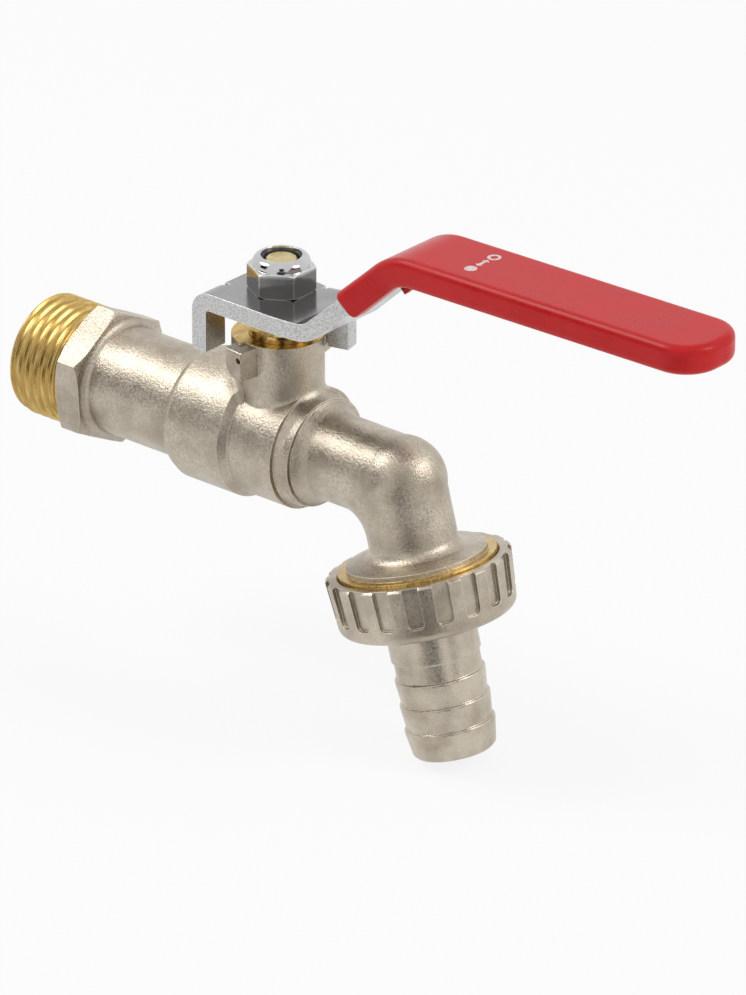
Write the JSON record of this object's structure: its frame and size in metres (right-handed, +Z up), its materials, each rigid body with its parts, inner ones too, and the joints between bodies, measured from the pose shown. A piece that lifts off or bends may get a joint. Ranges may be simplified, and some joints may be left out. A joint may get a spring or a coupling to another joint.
{
  "type": "washing machine valve",
  "caption": "Ball bib tap with quarter turn lever, male threaded inlet, angled spout and a union nut that holds a barbed hose tail.",
  "frame": {"origin": "on the flow axis, at the shoulder where the inlet thread meets the hexagon", "axes": "+X along the flow from inlet to spout, +Z up the stem, +Y to the tap's left side seen from the inlet"},
  "size_m": [0.144, 0.031, 0.0909],
  "materials": {
    "nickel_plated_brass": "sandblasted and nickel plated, satin",
    "brass": "turned, bright",
    "chromed_brass": "polished",
    "chromed_steel": "polished plating",
    "red_vinyl": "soft glossy vinyl",
    "nylon": "satin",
    "ptfe": "waxy",
    "gasket_rubber": "matt"
  },
  "bodies": {
    "tap_body": {"body": "nickel_plated_brass", "inlet_connector": "nickel_plated_brass", "inlet_seat_ring": "ptfe", "outlet_seat_ring": "ptfe", "stem_thrust_washer": "ptfe", "stem_packing": "ptfe", "gland_nut": "brass"},
    "lever_body": {"lever": "chromed_steel", "lever_sleeve": "red_vinyl", "lock_nut": "chromed_steel", "lock_nut_insert": "nylon", "stem": "brass", "ball": "chromed_brass"},
    "hose_tail_body": {"hose_tail": "nickel_plated_brass", "hose_tail_gasket": "gasket_rubber"},
    "union_nut_body": {"union_nut": "nickel_plated_brass"}
  },
  "joints": [
    {"name": "lever_turn", "type": "hinge", "parent": "tap_body", "child": "lever_body", "pos_m": [0.04085, 0, 0], "axis": [0, 0, -1], "range_deg": [0, 90]},
    {"name": "hose_tail_slide", "type": "slide", "parent": "tap_body", "child": "hose_tail_body", "axis": [0.2529, 0, -0.9675], "range_m": [0, 0.00363]},
    {"name": "union_nut_turn", "type": "hinge", "parent": "hose_tail_body", "child": "union_nut_body", "pos_m": [0.07117, 0, -0.01741], "axis": [0.2529, 0, -0.9675], "range_deg": [0, 720]}
  ],
  "couplings": [
    {"joint": "union_nut_turn", "follows": "hose_tail_slide", "rad_per_m": 3463.7}
  ]
}
